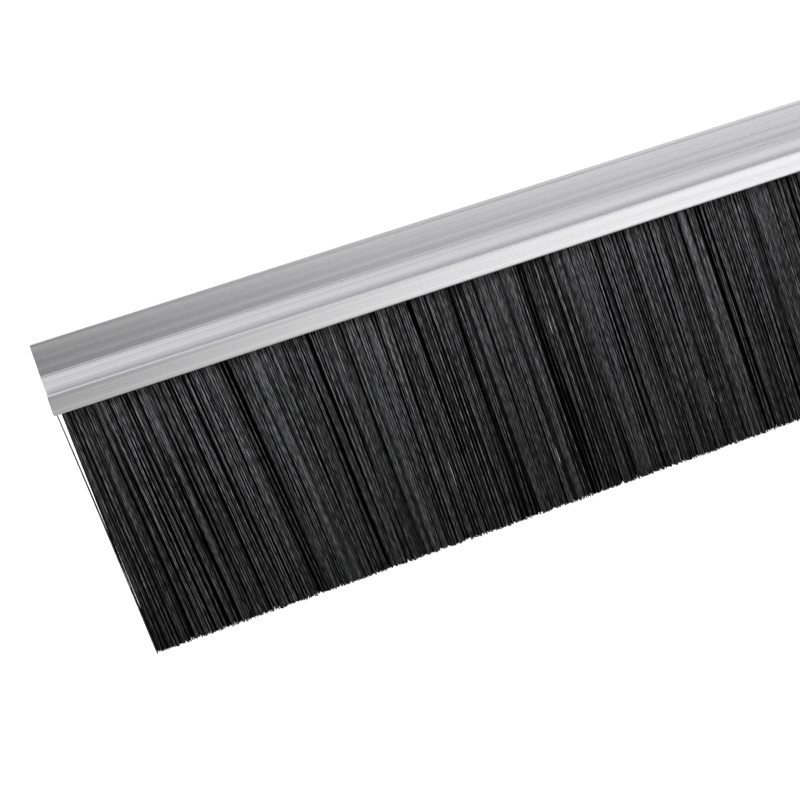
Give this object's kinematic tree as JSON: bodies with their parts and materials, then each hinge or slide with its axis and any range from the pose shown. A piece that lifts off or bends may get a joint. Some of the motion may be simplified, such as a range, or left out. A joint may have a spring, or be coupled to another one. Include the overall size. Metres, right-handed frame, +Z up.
{
  "type": "door sweep",
  "caption": "Brush door sweep: aluminium carrier with a flat mounting flange, a cove and a channel, holding a sliding strip brush of long black bristles",
  "frame": {"origin": "centre of the carrier's flat back face, which lies on the door", "axes": "+X runs along the sweep, +Z is up with the bristles hanging towards -Z, +Y points into the door and the cove and channel face -Y"},
  "size_m": [1, 0.0078, 0.09],
  "materials": {
    "mill_aluminium": "satin",
    "galvanised_steel": "satin",
    "drawn_wire": "satin",
    "black_filament": "satin"
  },
  "bodies": {
    "carrier": {"carrier_mounting_flange": "mill_aluminium", "carrier_cove": "mill_aluminium", "carrier_front_wall": "mill_aluminium"},
    "brush_strip": {"steel_channel": "galvanised_steel", "core_wire": "drawn_wire", "filament_fold": "black_filament"},
    "bristles_01": {"bristle_section_01": "black_filament"},
    "bristles_02": {"bristle_section_02": "black_filament"},
    "bristles_03": {"bristle_section_03": "black_filament"},
    "bristles_04": {"bristle_section_04": "black_filament"},
    "bristles_05": {"bristle_section_05": "black_filament"},
    "bristles_06": {"bristle_section_06": "black_filament"},
    "bristles_07": {"bristle_section_07": "black_filament"},
    "bristles_08": {"bristle_section_08": "black_filament"},
    "bristles_09": {"bristle_section_09": "black_filament"},
    "bristles_10": {"bristle_section_10": "black_filament"}
  },
  "joints": [
    {"name": "brush_slide", "type": "slide", "parent": "carrier", "child": "brush_strip", "axis": [1, 0, 0], "range_m": [-0.95, 0.95]},
    {"name": "bristle_bend_01", "type": "hinge", "parent": "brush_strip", "child": "bristles_01", "pos_m": [-0.44905, -0.004, -0.0119], "axis": [1, 0, 0], "range_deg": [-60, 60], "stiffness_Nm_per_rad": 0.04},
    {"name": "bristle_bend_02", "type": "hinge", "parent": "brush_strip", "child": "bristles_02", "pos_m": [-0.34926, -0.004, -0.0119], "axis": [1, 0, 0], "range_deg": [-60, 60], "stiffness_Nm_per_rad": 0.04},
    {"name": "bristle_bend_03", "type": "hinge", "parent": "brush_strip", "child": "bristles_03", "pos_m": [-0.24948, -0.004, -0.0119], "axis": [1, 0, 0], "range_deg": [-60, 60], "stiffness_Nm_per_rad": 0.04},
    {"name": "bristle_bend_04", "type": "hinge", "parent": "brush_strip", "child": "bristles_04", "pos_m": [-0.14969, -0.004, -0.0119], "axis": [1, 0, 0], "range_deg": [-60, 60], "stiffness_Nm_per_rad": 0.04},
    {"name": "bristle_bend_05", "type": "hinge", "parent": "brush_strip", "child": "bristles_05", "pos_m": [-0.0499, -0.004, -0.0119], "axis": [1, 0, 0], "range_deg": [-60, 60], "stiffness_Nm_per_rad": 0.04},
    {"name": "bristle_bend_06", "type": "hinge", "parent": "brush_strip", "child": "bristles_06", "pos_m": [0.0499, -0.004, -0.0119], "axis": [1, 0, 0], "range_deg": [-60, 60], "stiffness_Nm_per_rad": 0.04},
    {"name": "bristle_bend_07", "type": "hinge", "parent": "brush_strip", "child": "bristles_07", "pos_m": [0.14969, -0.004, -0.0119], "axis": [1, 0, 0], "range_deg": [-60, 60], "stiffness_Nm_per_rad": 0.04},
    {"name": "bristle_bend_08", "type": "hinge", "parent": "brush_strip", "child": "bristles_08", "pos_m": [0.24948, -0.004, -0.0119], "axis": [1, 0, 0], "range_deg": [-60, 60], "stiffness_Nm_per_rad": 0.04},
    {"name": "bristle_bend_09", "type": "hinge", "parent": "brush_strip", "child": "bristles_09", "pos_m": [0.34926, -0.004, -0.0119], "axis": [1, 0, 0], "range_deg": [-60, 60], "stiffness_Nm_per_rad": 0.04},
    {"name": "bristle_bend_10", "type": "hinge", "parent": "brush_strip", "child": "bristles_10", "pos_m": [0.44905, -0.004, -0.0119], "axis": [1, 0, 0], "range_deg": [-60, 60], "stiffness_Nm_per_rad": 0.04}
  ]
}
